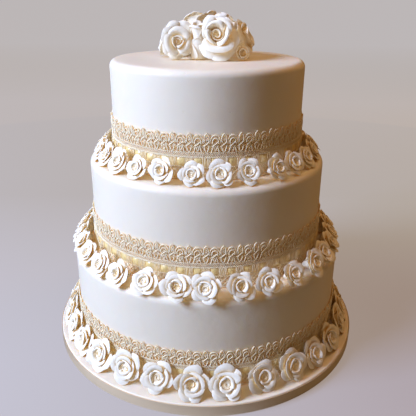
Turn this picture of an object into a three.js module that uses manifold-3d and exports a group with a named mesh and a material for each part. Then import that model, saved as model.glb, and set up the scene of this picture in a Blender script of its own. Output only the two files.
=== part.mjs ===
// A round three-tier wedding cake, iced smooth and ivory, on an iced round board.
// Each tier wears a band of cotton lace with a pale yellow satin ribbon at its foot, and a ring of
// sugar roses that stand on the ledge below and lean back against the lace. A dome of larger
// roses and buds sits on top. The board's edge is wrapped in an ivory satin ribbon.
//
// Millimetres, +Z up. The origin is the middle of the board's underside; the front looks along -Y.

import * as THREE from "three";
import { mergeVertices } from "three/addons/utils/BufferGeometryUtils.js";
import Module from "manifold-3d";

const wasm = await Module();
wasm.setup();

// ---------------------------------------------------------------- driving dimensions

const BOARD = { radius: 177, height: 13, edge: 1.5 };
const TIER_HEIGHT = 100.5;
const TIER_EDGE = 7; // rounding of the icing at each tier's top edge
const TIERS = [
  { name: "bottom", radius: 152.4 },
  { name: "middle", radius: 128.4 },
  { name: "top", radius: 101.6 },
];
const SEGMENTS = 40; // facets round every turned piece
const CLEARANCE = 0.3; // left between pieces that touch

const LACE = { low: 1, high: 45, thickness: 1 };
const LACE_RIBBON = { low: 15, high: 25.5, thickness: 0.4 }; // threaded through the lace's eyelets
const BOARD_RIBBON = { low: 0.6, high: 12, thickness: 0.7 };

// Roses round each tier: how many would fill the ring at the front's spacing, the azimuth of the
// one nearest the front, how far the ring stands off the lace there, how far the roses tip up
// there and how much more at the sides, their depth from calyx to bud in radii, how many stand
// singly across the front, how many press together in the run on each side of the back, and the
// seed of their places.
const ROSE_RINGS = [
  {
    tier: 0, spaces: 29, first: 7.5, standOff: 0, lean: 26, sideLean: 0, depth: 0.85,
    singles: 9, run: 12, seed: 11,
  },
  {
    tier: 1, spaces: 31, first: 0.5, standOff: 4, lean: 32, sideLean: 13, depth: 1.5,
    singles: 11, run: 12, seed: 21,
  },
  {
    tier: 2, spaces: 27, first: 6.8, standOff: 0, lean: 26, sideLean: 13, depth: 1.5,
    singles: 9, run: 11, seed: 31,
  },
];
const ROSE = {
  widest: 0.6, // height of the outer petals' edge, as a share of the depth
  smallest: 0.92, // of the largest that fits its place
  leanSpread: 6,
  turnSpread: 9,
  standOffSpread: 1.2,
  pressed: 1.2, // roses at the back fill more than their place, so they press into one another
  backSpread: 0.25, // their size, lean, turn and stand-off vary less
};

// Rose forms: how many petals stand round, how high the middle lies, and rows from the calyx to
// the bud. Each row has its height as a share of the depth, its radius as a share of the rose's,
// how far its petals stand out, and which way its petals are turned, in half petals.
const OPEN_ROSE = {
  petals: 5,
  tip: 0.76,
  rows: [
    [0.12, 0.5, 0, 0],
    [ROSE.widest, 0.97, 0.03, 0],
    [0.5, 0.68, 0.04, 0],
    [0.86, 0.46, 0.05, 1],
  ],
};
const PRESSED_ROSE = { ...OPEN_ROSE, petals: 4, rows: OPEN_ROSE.rows.slice(1) };
const LARGE_ROSE = {
  petals: 5,
  tip: 0.84,
  rows: [
    [0.1, 0.5, 0, 0],
    [0.42, 0.9, 0.04, 0],
    [0.62, 0.96, 0.04, 0],
    [0.54, 0.74, 0.03, 0],
    [0.86, 0.6, 0.05, 1],
    [0.7, 0.4, 0.03, 1],
    [0.94, 0.24, 0.02, 2],
  ],
};
const STANDING_ROSE = {
  petals: 5,
  tip: 0.8,
  rows: [
    [0.05, 0.62, 0, 0],
    [0.5, 0.9, 0.04, 0],
    [0.95, 0.95, 0.05, 0],
  ],
};
const BUD = {
  petals: 4,
  tip: 1,
  rows: [
    [0.15, 0.7, 0, 0],
    [0.5, 0.98, 0.02, 0],
    [0.85, 0.6, 0.05, 1],
  ],
};
const UNEVENNESS = 0.02; // hand-shaped petals, as a share of the radius
const PETAL_RISE = 0.5; // how far a petal's edge rises, for each part that it stands out

// The topper: the middle of each rose's outer petals from the middle of the cake's top, the
// azimuth and the tip of its face, and its radius and depth.
const TOPPER = [
  { name: "rose_large", form: LARGE_ROSE, at: [9, -27.7, 19.9], face: [-5, 18], size: [22.5, 34] },
  { name: "rose_left", form: LARGE_ROSE, at: [-30, -19.7, 17.6], face: [6, 8], size: [19, 30] },
  { name: "rose_small", form: OPEN_ROSE, at: [35, -24, 7], face: [10, 10], size: [7.2, 16] },
  { name: "rose_upper", form: LARGE_ROSE, at: [-7, 8, 28.3], face: [-150, 70], size: [19.5, 34] },
  { name: "rose_standing", form: STANDING_ROSE, at: [-8.5, -22, 21], face: [-10, 76], size: [9.5, 38] },
  { name: "rose_right", form: LARGE_ROSE, at: [32.5, -1, 19], face: [78, 26], size: [18, 34] },
  { name: "rose_outer_left", form: LARGE_ROSE, at: [-37, 8, 16.5], face: [-95, 18], size: [18, 32] },
  { name: "rose_back", form: LARGE_ROSE, at: [4, 33, 19], face: [178, 22], size: [20, 36] },
  { name: "bud_upper", form: BUD, at: [15, -11, 40], face: [75, 12], size: [5, 18] },
  { name: "bud_right", form: BUD, at: [25.5, -17, 31], face: [20, 40], size: [5.2, 18] },
  { name: "rose_upper_back", form: OPEN_ROSE, at: [15, 14, 30], face: [130, 58], size: [14, 30] },
  { name: "rose_low_right", form: OPEN_ROSE, at: [32, 26, 13.5], face: [125, 18], size: [13.5, 28] },
  { name: "rose_back_left", form: OPEN_ROSE, at: [-22, 16, 22], face: [-142, 50], size: [15.5, 32] },
];
const TOPPER_GROWTH = 1.03; // a neighbour's form grown by this leaves the clearance at its petals
const TOPPER_SEED = 77;
const SLAB = { side: 200, thickness: 60 }; // what the topper's roses are cut flat by

const ICING = { color: 0xf3f0ec, roughness: 0.5 };
const SUGAR = { color: 0xf7f3ec, roughness: 0.55 };
const COTTON = { color: 0xd8c8aa, roughness: 0.9 };
const YELLOW_SATIN = { color: 0xf2e4b4, roughness: 0.35 };
const IVORY_SATIN = { color: 0xe6dccb, roughness: 0.3 };

// ---------------------------------------------------------------- tools of the trade

const radians = THREE.MathUtils.degToRad;

// Lehmer's generator: the same draws every time.
const MULTIPLIER = 48271;
const MODULUS = 2147483647;

function makeRandom(seed) {
  let state = seed;
  return () => {
    state = (state * MULTIPLIER) % MODULUS;
    return state / MODULUS;
  };
}

function makeSpread(random) {
  return (amount) => amount * (2 * random() - 1);
}

function makeMesh(name, geometry, finish) {
  const material = new THREE.MeshStandardMaterial({ ...finish, metalness: 0 });
  const mesh = new THREE.Mesh(geometry, material);
  mesh.name = name;
  return mesh;
}

// A solid turned about +Z from its outline, given as [radius, height] from the bottom up.
function turned(outline) {
  const points = outline.map(([radius, height]) => new THREE.Vector2(radius, height));
  return new THREE.LatheGeometry(points, SEGMENTS).rotateX(Math.PI / 2);
}

// A thin band round a turned wall.
function band(inner, { low, high, thickness }) {
  const outer = inner + thickness;
  return turned([
    [inner, low],
    [outer, low],
    [outer, high],
    [inner, high],
    [inner, low],
  ]);
}

function solidFrom(geometry) {
  const bare = geometry.clone();
  bare.deleteAttribute("normal");
  bare.deleteAttribute("uv");
  const merged = mergeVertices(bare);
  return new wasm.Manifold(
    new wasm.Mesh({
      numProp: 3,
      vertProperties: new Float32Array(merged.attributes.position.array),
      triVerts: new Uint32Array(merged.index.array),
    }),
  );
}

// The largest body of a solid as a geometry: scraps that a cut leaves are dropped.
function geometryFrom(solid) {
  const bodies = solid.decompose().sort((a, b) => b.volume() - a.volume());
  const mesh = bodies[0].getMesh();
  const geometry = new THREE.BufferGeometry();
  geometry.setAttribute("position", new THREE.BufferAttribute(mesh.vertProperties, 3));
  geometry.setIndex(new THREE.BufferAttribute(mesh.triVerts, 1));
  return geometry;
}

// ---------------------------------------------------------------- board and tiers

function boardGeometry() {
  const { radius, height, edge } = BOARD;
  return turned([
    [0, 0],
    [radius, 0],
    [radius, height - edge],
    [radius - edge, height],
    [0, height],
  ]);
}

// A tier's icing turns over its top edge in a quarter round.
function tierGeometry(radius) {
  const steps = 3;
  const outline = [
    [0, 0],
    [radius, 0],
  ];
  for (let i = 0; i <= steps; i++) {
    const angle = (i / steps) * (Math.PI / 2);
    outline.push([
      radius - TIER_EDGE * (1 - Math.cos(angle)),
      TIER_HEIGHT - TIER_EDGE * (1 - Math.sin(angle)),
    ]);
  }
  outline.push([0, TIER_HEIGHT]);
  return turned(outline);
}

// ---------------------------------------------------------------- roses

// One rose with its calyx at the origin and its face along +Z. Rows of points run round it:
// petal edges stand out and up, and the wells between them lie lower.
function roseGeometry(form, radius, depth, spin, random) {
  const spread = makeSpread(random);
  const { petals, tip, rows } = form;
  const around = 2 * petals;
  const positions = [0, 0, 0];
  for (const [heightShare, radiusShare, petalShare, halfTurns] of rows) {
    for (let j = 0; j < around; j++) {
      const angle = spin + ((j + halfTurns) / around) * 2 * Math.PI;
      const petal = (j % 2 ? -1 : 1) * petalShare;
      const r = radius * (radiusShare + petal + spread(UNEVENNESS) * (petalShare ? 1 : 0));
      const z = depth * (heightShare + PETAL_RISE * petal);
      positions.push(r * Math.cos(angle), r * Math.sin(angle), z);
    }
  }
  positions.push(0, 0, depth * tip);

  const last = rows.length - 1;
  const middle = 1 + rows.length * around;
  const at = (row, j) => 1 + row * around + (j % around);
  const index = [];
  for (let j = 0; j < around; j++) {
    index.push(0, at(0, j + 1), at(0, j));
    for (let row = 0; row < last; row++) {
      index.push(at(row, j), at(row, j + 1), at(row + 1, j));
      index.push(at(row, j + 1), at(row + 1, j + 1), at(row + 1, j));
    }
    index.push(at(last, j), at(last, j + 1), middle);
  }
  const geometry = new THREE.BufferGeometry();
  geometry.setAttribute("position", new THREE.Float32BufferAttribute(positions, 3));
  geometry.setIndex(index);
  return geometry;
}

// Turns a rose so that it faces out from the cake's axis: tipped up by lean, turned by turn.
function faceOut(object, lean, turn) {
  object.rotation.set(Math.PI / 2 - radians(lean), 0, radians(turn), "ZXY");
}

// One rose on a ledge, in a group that turns it to its azimuth. It rests on the ledge and, where
// the ring has no stand-off, its back petals rest on the lace.
function ledgeRose(name, form, place, random) {
  const geometry = roseGeometry(form, place.radius, place.depth, place.spin, random);
  const mesh = makeMesh(name, geometry, SUGAR);
  faceOut(mesh, place.lean, place.turn);
  const box = new THREE.Box3().setFromObject(mesh, true);
  mesh.position.set(0, -place.wall - box.max.y, place.ledge - box.min.z);
  const group = new THREE.Group();
  group.rotation.z = radians(place.azimuth);
  group.add(mesh);
  return group;
}

// The places of a ring's roses: single ones across the front, then a run on each side of the back.
// What a ring stands off the lace at the front fades out at its sides, where the roses tip up more.
function ringPlaces(ring, random) {
  const spread = makeSpread(random);
  const wall = TIERS[ring.tier].radius + LACE.thickness + LACE_RIBBON.thickness + 3 * CLEARANCE;
  const ledge = BOARD.height + ring.tier * TIER_HEIGHT + CLEARANCE;

  // Half the way between neighbours where their petals are widest, which is off the lace.
  function roomFor(step) {
    const halfWay = radians(step / 2);
    const off = halfWay * wall * ring.depth * ROSE.widest * Math.cos(radians(ring.lean));
    return (wall + ring.standOff + off) * Math.sin(halfWay);
  }

  function row(first, step, count, largest, calm) {
    return Array.from({ length: count }, (_, i) => {
      const radius = largest * (1 - (1 - ROSE.smallest) * calm * random());
      const azimuth = first + i * step;
      const forward = Math.max(0, Math.cos(radians(azimuth)));
      return {
        azimuth,
        radius,
        depth: radius * ring.depth,
        wall: wall + ring.standOff * forward + ROSE.standOffSpread * calm * random(),
        ledge,
        lean: ring.lean + ring.sideLean * (1 - forward) + spread(ROSE.leanSpread * calm),
        turn: spread(ROSE.turnSpread * calm),
        spin: random() * 2 * Math.PI,
      };
    });
  }

  const step = 360 / ring.spaces;
  const first = ring.first - step * Math.floor(ring.singles / 2);
  const last = first + step * (ring.singles - 1);
  const middle = (first + last) / 2 + 180;
  const runStep = (middle - last - 1.5 * step) / (ring.run - 1);
  const pressed = roomFor(runStep) * ROSE.pressed;
  return {
    front: row(first, step, ring.singles, roomFor(step) - CLEARANCE, 1),
    right: row(last + step, runStep, ring.run, pressed, ROSE.backSpread),
    left: row(middle + step / 2, runStep, ring.run, pressed, ROSE.backSpread),
  };
}

// Roses pressed into one another along a stretch of the ring, as one solid.
function roseRun(name, places, random) {
  let run = null;
  for (const place of places) {
    const group = ledgeRose("pressed", PRESSED_ROSE, place, random);
    group.updateMatrixWorld(true);
    const mesh = group.children[0];
    const solid = solidFrom(mesh.geometry.clone().applyMatrix4(mesh.matrixWorld));
    run = run ? run.add(solid) : solid;
  }
  return makeMesh(name, geometryFrom(run), SUGAR);
}

function roseRing(ring) {
  const group = new THREE.Group();
  const places = ringPlaces(ring, makeRandom(ring.seed));
  const random = makeRandom(ring.seed + 1);
  const tierName = TIERS[ring.tier].name;
  places.front.forEach((place, i) => {
    const number = String(i + 1).padStart(2, "0");
    group.add(ledgeRose(`rose_${tierName}_${number}`, OPEN_ROSE, place, random));
  });
  group.add(roseRun(`roses_${tierName}_right`, places.right, random));
  group.add(roseRun(`roses_${tierName}_left`, places.left, random));
  return group;
}

// ---------------------------------------------------------------- topper

// The plain form that a rose fills, without its wells: what a later neighbour is cut by.
function filledForm(form) {
  const rising = form.rows.filter((row, i) => form.rows.slice(0, i).every((low) => low[0] < row[0]));
  const rows = rising.map(([height, share, petal, halfTurns]) => [
    height + PETAL_RISE * petal,
    share + petal + UNEVENNESS,
    0,
    halfTurns,
  ]);
  return { petals: form.petals, tip: 1, rows };
}

// The roses of the dome, each cut clear of the ones before it and flat where it stands.
function topper() {
  const random = makeRandom(TOPPER_SEED);
  const group = new THREE.Group();
  group.position.z = BOARD.height + TIERS.length * TIER_HEIGHT;
  const slab = new THREE.BoxGeometry(SLAB.side, SLAB.side, SLAB.thickness);
  let taken = solidFrom(slab.translate(0, 0, CLEARANCE - SLAB.thickness / 2));
  for (const { name, form, at, face, size } of TOPPER) {
    const [azimuth, lean] = face;
    const [radius, depth] = size;
    const stance = new THREE.Object3D();
    faceOut(stance, lean, azimuth);
    stance.updateMatrix();
    const spin = random() * Math.PI;
    const standing = (shape, growth) =>
      shape
        .translate(0, 0, -ROSE.widest * depth)
        .applyMatrix4(stance.matrix)
        .scale(growth, growth, growth)
        .translate(...at);
    const rose = standing(roseGeometry(form, radius, depth, spin, random), 1);
    const filled = roseGeometry(filledForm(form), radius, depth, spin, random);
    group.add(makeMesh(`topper_${name}`, geometryFrom(solidFrom(rose).subtract(taken)), SUGAR));
    taken = taken.add(solidFrom(standing(filled, TOPPER_GROWTH)));
  }
  return group;
}

// ---------------------------------------------------------------- the cake

const cake = new THREE.Group();
cake.add(makeMesh("cake_board", boardGeometry(), ICING));
cake.add(makeMesh("board_ribbon", band(BOARD.radius + CLEARANCE, BOARD_RIBBON), IVORY_SATIN));
TIERS.forEach(({ name, radius }, level) => {
  const tier = new THREE.Group();
  tier.position.z = BOARD.height + level * TIER_HEIGHT;
  tier.add(makeMesh(`tier_${name}`, tierGeometry(radius), ICING));
  const inner = radius + CLEARANCE;
  tier.add(makeMesh(`lace_${name}`, band(inner, LACE), COTTON));
  const outside = inner + LACE.thickness + CLEARANCE;
  tier.add(makeMesh(`lace_ribbon_${name}`, band(outside, LACE_RIBBON), YELLOW_SATIN));
  cake.add(tier);
});
ROSE_RINGS.forEach((ring) => cake.add(roseRing(ring)));
cake.add(topper());

export default cake;
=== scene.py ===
"""A three-tier wedding cake: smooth ivory icing, bands of cotton lace with satin ribbon threaded
through them, rings of sugar roses and a dome of larger ones on top. Metres, +Z up, front at -Y."""
import math

import bpy
import numpy as np
from mathutils import Matrix, Vector


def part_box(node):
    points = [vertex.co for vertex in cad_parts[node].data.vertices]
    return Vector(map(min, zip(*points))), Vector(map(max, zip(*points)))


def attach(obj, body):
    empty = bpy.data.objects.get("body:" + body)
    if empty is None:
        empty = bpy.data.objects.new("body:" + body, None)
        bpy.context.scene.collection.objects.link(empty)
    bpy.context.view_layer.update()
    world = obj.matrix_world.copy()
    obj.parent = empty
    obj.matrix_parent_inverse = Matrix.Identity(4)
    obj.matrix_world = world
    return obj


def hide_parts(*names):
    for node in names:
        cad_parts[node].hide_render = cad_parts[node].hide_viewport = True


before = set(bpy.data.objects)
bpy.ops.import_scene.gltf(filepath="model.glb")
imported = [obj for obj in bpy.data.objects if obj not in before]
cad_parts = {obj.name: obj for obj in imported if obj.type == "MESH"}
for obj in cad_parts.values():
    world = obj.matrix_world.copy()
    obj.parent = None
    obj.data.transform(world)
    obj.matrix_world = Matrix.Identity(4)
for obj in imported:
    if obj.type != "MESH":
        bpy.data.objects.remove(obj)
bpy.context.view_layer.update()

# ------------------------------------------------------------ the camera
# A normal lens just over half a metre from the middle of the cake and a little higher than its top
# rose, looking down so that every ledge shows, turned and rolled by a fraction of a degree as a
# camera in the hand is.

CAMERA_PLACE = (0, -0.549, 0.3725)
CAMERA_DOWN = 22.638
CAMERA_ASIDE = 0.191
CAMERA_ROLL = 0.408
CAMERA_LENS = 43.67

bpy.ops.object.camera_add(location=CAMERA_PLACE)
camera = bpy.context.object
aim = Matrix.Rotation(math.radians(-CAMERA_ASIDE), 3, "Z")
aim = aim @ Matrix.Rotation(math.radians(90 - CAMERA_DOWN), 3, "X")
aim = aim @ Matrix.Rotation(math.radians(CAMERA_ROLL), 3, "Z")
camera.rotation_euler = aim.to_euler()
camera.data.lens = CAMERA_LENS
bpy.context.scene.camera = camera
bpy.context.scene.view_settings.view_transform = "Standard"

# ------------------------------------------------------------ the room
# A pale matt table top that sweeps up into a pale wall far behind, with no line between them. Cool
# daylight falls from a window on the left, and a warm lamp behind on the right fills the shadows.

TABLE_RADIUS = 4.5
SWEEP_RADIUS = 4.5
SWEEP_STEPS = 10
BACKDROP_PAINT = "7d7c82"
# its painted light: tones by how far back they are, and where along each axis the painted shadow of the cake
# starts and is full
BACKDROP_GLOW = ((-0.1, "aba4a0"), (0.41, "a09685"), (1.4, "aea7a1"), (4.0, "b7b3b4"))
CAKE_SHADOW_GLOW = "95867d"
CAKE_SHADOW_PLACE = (("X", -0.25, 0.3), ("Y", 0.4, 0.0), ("Y", -2.2, -0.7))
TABLE_BOUNCE_PAINT = "81765c"
TABLE_BOUNCE_RADIUS = 1.2
WINDOW_PLACE = (-64, 32, 2.2)
WINDOW_SIZE = 0.85
WINDOW_LIGHT = (0.434, 0.585, 0.939)
BETWEEN_ROSES_LIGHT = (1.0, 0.76, 0.47)
CEILING_LIGHT = (1.0, 0.68, 0.45)
LAMP_LIGHT = (1.0, 0.5, 0.17)
ROOM_GLOW = (0.112, 0.058, 0.016)


def linear(colour):
    """An sRGB hex colour as linear RGBA."""
    values = [int(colour[i : i + 2], 16) / 255 for i in (0, 2, 4)]
    return [v / 12.92 if v <= 0.04045 else ((v + 0.055) / 1.055) ** 2.4 for v in values] + [1]


def add_node(material, kind, sockets=(), **settings):
    """Adds a node: settings are its own values, and sockets pairs a socket with a value or a link."""
    tree = material.node_tree
    node = tree.nodes.new(kind)
    for name, value in settings.items():
        setattr(node, name, value)
    for socket, value in dict(sockets).items():
        if isinstance(value, bpy.types.NodeSocket):
            tree.links.new(value, node.inputs[socket])
        else:
            node.inputs[socket].default_value = value
    return node


def new_material(name, **values):
    """A material with its Principled shader's own values set. Returns both."""
    material = bpy.data.materials.new(name)
    material.use_nodes = True
    shader = material.node_tree.nodes["Principled BSDF"]
    for socket, value in values.items():
        shader.inputs[socket.replace("_", " ")].default_value = value
    return material, shader


def dimmed(colour, *shares):
    """A hex colour as linear RGBA, with each channel dimmed to its share."""
    return [c * share for c, share in zip(linear(colour), (*shares, 1))]


def area_light(name, place, size, power, colour):
    """A soft light that faces the middle of the cake. place is its azimuth and elevation in degrees
    and its distance."""
    middle = Vector((0, 0, 0.16))
    azimuth, elevation, distance = place
    a = math.radians(azimuth)
    e = math.radians(elevation)
    away = Vector((math.sin(a) * math.cos(e), -math.cos(a) * math.cos(e), math.sin(e)))
    bpy.ops.object.light_add(type="AREA", location=middle + distance * away)
    light = bpy.context.object
    light.name = name
    light.rotation_euler = (-away).to_track_quat("-Z", "Y").to_euler()
    light.data.size = size
    light.data.energy = power
    light.data.color = colour
    return light


bpy.ops.object.select_all(action="DESELECT")
bpy.ops.mesh.primitive_circle_add(vertices=96, radius=TABLE_RADIUS, fill_type="NGON")
backdrop = bpy.context.object
backdrop.name = "table_and_wall"
bpy.ops.object.mode_set(mode="EDIT")
bpy.ops.mesh.select_mode(type="EDGE")
for step in range(SWEEP_STEPS):
    swept = [math.radians(90 / SWEEP_STEPS * k) for k in (step, step + 1)]
    rise = SWEEP_RADIUS * (math.cos(swept[0]) - math.cos(swept[1]))
    reach = [TABLE_RADIUS + SWEEP_RADIUS * math.sin(a) for a in swept]
    bpy.ops.mesh.extrude_region_move(TRANSFORM_OT_translate={"value": (0, 0, rise)})
    bpy.ops.transform.resize(value=(reach[1] / reach[0], reach[1] / reach[0], 1))
bpy.ops.object.mode_set(mode="OBJECT")
bpy.ops.object.shade_smooth()
# Its paint glows by itself with painted light, in the tones that a lit wall has: they change with the
# distance, and a painted shadow of the cake makes them darker on the right, where it stands in the window's
# light.
glowing_paint, paint = new_material(
    "backdrop_paint_with_painted_light",
    Base_Color=linear(BACKDROP_PAINT),
    Roughness=0.9,
    Specular_IOR_Level=0.1,
    Emission_Strength=1,
)
here = add_node(glowing_paint, "ShaderNodeTexCoord").outputs["Object"]
way = add_node(glowing_paint, "ShaderNodeSeparateXYZ", {"Vector": here})
nearest, farthest = BACKDROP_GLOW[0][0], BACKDROP_GLOW[-1][0]
depth = add_node(
    glowing_paint, "ShaderNodeMapRange", {"Value": way.outputs["Y"], "From Min": nearest, "From Max": farthest}
)
glow = add_node(glowing_paint, "ShaderNodeValToRGB", {"Fac": depth.outputs["Result"]})
stops = glow.color_ramp.elements
for y, colour in BACKDROP_GLOW[1:-1]:
    stops.new((y - nearest) / (farthest - nearest))
for stop, (_, colour) in zip(stops, BACKDROP_GLOW):
    stop.color = linear(colour)
# the painted shadow of the cake: full where all three ranges meet
shade = 1
for axis, starts, full in CAKE_SHADOW_PLACE:
    within = add_node(
        glowing_paint,
        "ShaderNodeMapRange",
        {"Value": way.outputs[axis], "From Min": starts, "From Max": full},
        interpolation_type="SMOOTHSTEP",
    )
    both = {0: shade, 1: within.outputs["Result"]}
    shade = add_node(glowing_paint, "ShaderNodeMath", both, operation="MULTIPLY").outputs["Value"]
tone = add_node(
    glowing_paint,
    "ShaderNodeMix",
    {0: shade, 6: glow.outputs["Color"], 7: linear(CAKE_SHADOW_GLOW)},
    data_type="RGBA",
)
glowing_paint.node_tree.links.new(tone.outputs[2], paint.inputs["Emission Color"])
backdrop.data.materials.append(glowing_paint)
backdrop.visible_diffuse = False
backdrop.visible_glossy = False
backdrop.visible_shadow = False

# The part of the table that throws light back up on the lowest tier.
bpy.ops.object.select_all(action="DESELECT")
bpy.ops.mesh.primitive_circle_add(vertices=64, radius=TABLE_BOUNCE_RADIUS, fill_type="NGON")
table_bounce = bpy.context.object
table_bounce.name = "table_bounce"
bounce_paint, _ = new_material("matt_table_bounce", Base_Color=linear(TABLE_BOUNCE_PAINT), Roughness=1)
table_bounce.data.materials.append(bounce_paint)
table_bounce.visible_camera = False
table_bounce.visible_glossy = False
table_bounce.visible_shadow = False

area_light("window", WINDOW_PLACE, WINDOW_SIZE, power=93, colour=WINDOW_LIGHT)
# What the window's light becomes after many bounces between icing, lace and petals: golden, and
# as much in their crevices as outside, so only the tiers stand in its way.
bounced = area_light("window_bounced", WINDOW_PLACE, WINDOW_SIZE, power=8, colour=BETWEEN_ROSES_LIGHT)
stands_in_way = bpy.data.collections.new("stands_in_the_way_of_bounced_light")
bounced.light_linking.blocker_collection = stands_in_way
area_light("ceiling", (0, 84, 1.5), size=1.0, power=4, colour=CEILING_LIGHT)
area_light("lamp", (118, 35, 1.8), size=0.8, power=5, colour=LAMP_LIGHT)

world = bpy.data.worlds.new("room_glow")
bpy.context.scene.world = world
world.use_nodes = True
world.node_tree.nodes["Background"].inputs["Color"].default_value = (*ROOM_GLOW, 1)
world.node_tree.nodes["Background"].inputs["Strength"].default_value = 1

# ------------------------------------------------------------ the board
# A drum board 13 mm thick that carries the cake. It is covered with the same rolled icing, laid
# over its top and trimmed at the edge, so its rim is softly rounded.

MM = 0.001
BOARD_RADIUS = 177 * MM
BOARD_HEIGHT = 13 * MM
BOARD_EDGE = 1.5 * MM
WALL_STEPS = 200
ICING_IVORY = "f6ead2"
# painted bounce light: the golden tone of the icing in crevices by the lace and roses
ICING_PAINTED_BOUNCE = "f3c878"
DEEPEST = 0.12  # how open a crevice still is where its tint is full
SMOOTHING_MARK = 45 * MM
GRAIN = 1.1 * MM
GRAIN_DEPTH = 0.15 * MM
DENT_WIDTH = 9 * MM
DENT_DEPTH = 0.5 * MM
PIT_SPACING = 18 * MM
PIT_RADIUS = 0.9 * MM
PIT_DEPTH = 0.5 * MM


def painted_bounce_in_crevices(material, reach, shut, tint, deep):
    """Painted bounce light: a tint that turns to the deep one in crevices, standing in for light that
    has bounced into them from cream to cream, more golden each time. reach is how near their sides
    are, and shut how far they are closed before the tint starts."""
    closeness = add_node(material, "ShaderNodeAmbientOcclusion", {"Distance": reach}, samples=6)
    share = add_node(
        material,
        "ShaderNodeMapRange",
        {"Value": closeness.outputs["AO"], "From Min": 1 - shut, "From Max": DEEPEST},
        interpolation_type="SMOOTHSTEP",
    )
    warm = add_node(
        material, "ShaderNodeMix", {0: share.outputs["Result"], 6: tint, 7: linear(deep)}, data_type="RGBA"
    )
    return warm.outputs[2]


def rolled_icing(name, colour):
    """Sugar paste rolled out and smoothed by hand: a soft sheen, faint smoothing marks and the
    fine grain of icing sugar, with shallow dents and a few pits, and painted bounce light that turns it
    golden in its crevices."""
    material, shader = new_material(
        name,
        Roughness=0.5,
        Subsurface_Weight=0.25,
        Subsurface_Radius=(1.0, 0.7, 0.4),
        Subsurface_Scale=1.2 * MM,
        Specular_IOR_Level=0.4,
    )
    here = add_node(material, "ShaderNodeTexCoord").outputs["Object"]
    marks = add_node(
        material, "ShaderNodeTexNoise", {"Vector": here, "Scale": 1 / SMOOTHING_MARK, "Detail": 3}
    )
    tint = add_node(
        material,
        "ShaderNodeMix",
        {0: marks.outputs["Fac"], 6: linear(colour), 7: dimmed(colour, 0.96, 0.95, 0.945)},
        data_type="RGBA",
    )
    grain = add_node(material, "ShaderNodeTexNoise", {"Vector": here, "Scale": 1 / GRAIN, "Detail": 2})
    dents = add_node(material, "ShaderNodeTexNoise", {"Vector": here, "Scale": 1 / DENT_WIDTH, "Detail": 2})
    pits = add_node(material, "ShaderNodeTexVoronoi", {"Vector": here, "Scale": 1 / PIT_SPACING})
    pit = add_node(
        material,
        "ShaderNodeMapRange",
        {"Value": pits.outputs["Distance"], "From Max": PIT_RADIUS / PIT_SPACING},
        interpolation_type="SMOOTHSTEP",
    )
    grainy = {"Height": grain.outputs["Fac"], "Strength": 0.12, "Distance": GRAIN_DEPTH}
    relief = add_node(material, "ShaderNodeBump", grainy).outputs["Normal"]
    dented = {"Height": dents.outputs["Fac"], "Strength": 0.5, "Distance": DENT_DEPTH, "Normal": relief}
    relief = add_node(material, "ShaderNodeBump", dented).outputs["Normal"]
    pitted = {"Height": pit.outputs["Result"], "Strength": 0.8, "Distance": PIT_DEPTH, "Normal": relief}
    relief = add_node(material, "ShaderNodeBump", pitted).outputs["Normal"]
    # painted bounce light in the icing's crevices
    colour_here = painted_bounce_in_crevices(material, 12 * MM, 0.27, tint.outputs[2], ICING_PAINTED_BOUNCE)
    material.node_tree.links.new(colour_here, shader.inputs["Base Color"])
    material.node_tree.links.new(relief, shader.inputs["Normal"])
    return material


def finish_piece(piece, name, material, slot, *nodes):
    """Names a piece, gives it its material and ties it to the frame."""
    piece.name = name
    piece.data.name = name
    piece.data.materials.clear()
    piece.data.materials.append(material)
    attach(piece, "root")
    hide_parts(*nodes)


def place_in_mesh():
    """Moves the active object's place into its mesh."""
    bpy.ops.object.transform_apply(location=True, rotation=True, scale=True)


def select_edges(piece, wanted):
    """In edit mode, selects only the edges whose two ends are both wanted."""
    bpy.ops.object.mode_set(mode="OBJECT")
    points = piece.data.vertices
    for part in (points, piece.data.edges, piece.data.polygons):
        part.foreach_set("select", np.zeros(len(part), bool))
    for edge in piece.data.edges:
        edge.select = wanted(*(points[i].co for i in edge.vertices))
    bpy.ops.object.mode_set(mode="EDIT")
    bpy.ops.mesh.select_mode(type="EDGE")


def iced_drum(radius, low, high, edge, rows, rings):
    """A round slab of icing: its top rim rounded, its wall cut into rows and its top into rings."""
    bpy.ops.object.select_all(action="DESELECT")
    bpy.ops.mesh.primitive_cylinder_add(
        vertices=WALL_STEPS, radius=radius, depth=high - low, location=(0, 0, (low + high) / 2)
    )
    place_in_mesh()
    drum = bpy.context.object
    near = 0.01 * MM
    select_edges(drum, lambda a, b: a.z > high - near and b.z > high - near)
    bpy.ops.mesh.bevel(offset=edge, segments=7, profile=0.5)
    select_edges(drum, lambda a, b: abs(a.z - b.z) > edge * 1.5)
    bpy.ops.mesh.subdivide(number_cuts=rows)
    bpy.ops.mesh.select_all(action="DESELECT")
    bpy.ops.object.mode_set(mode="OBJECT")
    for face in drum.data.polygons:
        face.select = face.center.z > high - near and len(face.vertices) > 4
    bpy.ops.object.mode_set(mode="EDIT")
    bpy.ops.mesh.select_mode(type="FACE")
    for _ in range(rings):
        bpy.ops.mesh.inset(thickness=(radius - edge) / (rings + 1))
    bpy.ops.object.mode_set(mode="OBJECT")
    bpy.ops.object.shade_smooth_by_angle(angle=math.radians(40))
    return drum


board_icing = rolled_icing("rolled_board_icing", ICING_IVORY)
board = iced_drum(BOARD_RADIUS, 0, BOARD_HEIGHT, BOARD_EDGE, rows=2, rings=8)
finish_piece(board, "iced_board", board_icing, "board_icing", "cake_board")

# ------------------------------------------------------------ the board's ribbon
# Ivory satin ribbon 11 mm wide, glued round the side of the board in dabs, with a little slack
# between them.

BOARD_RIBBON_STEPS = 240
BOARD_RIBBON_SLACK = 0.18 * MM
SATIN_IVORY = "ebd4b0"
SATIN_WAVE_SCALE = 1193.6621  # about 3800 threads to the metre


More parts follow.
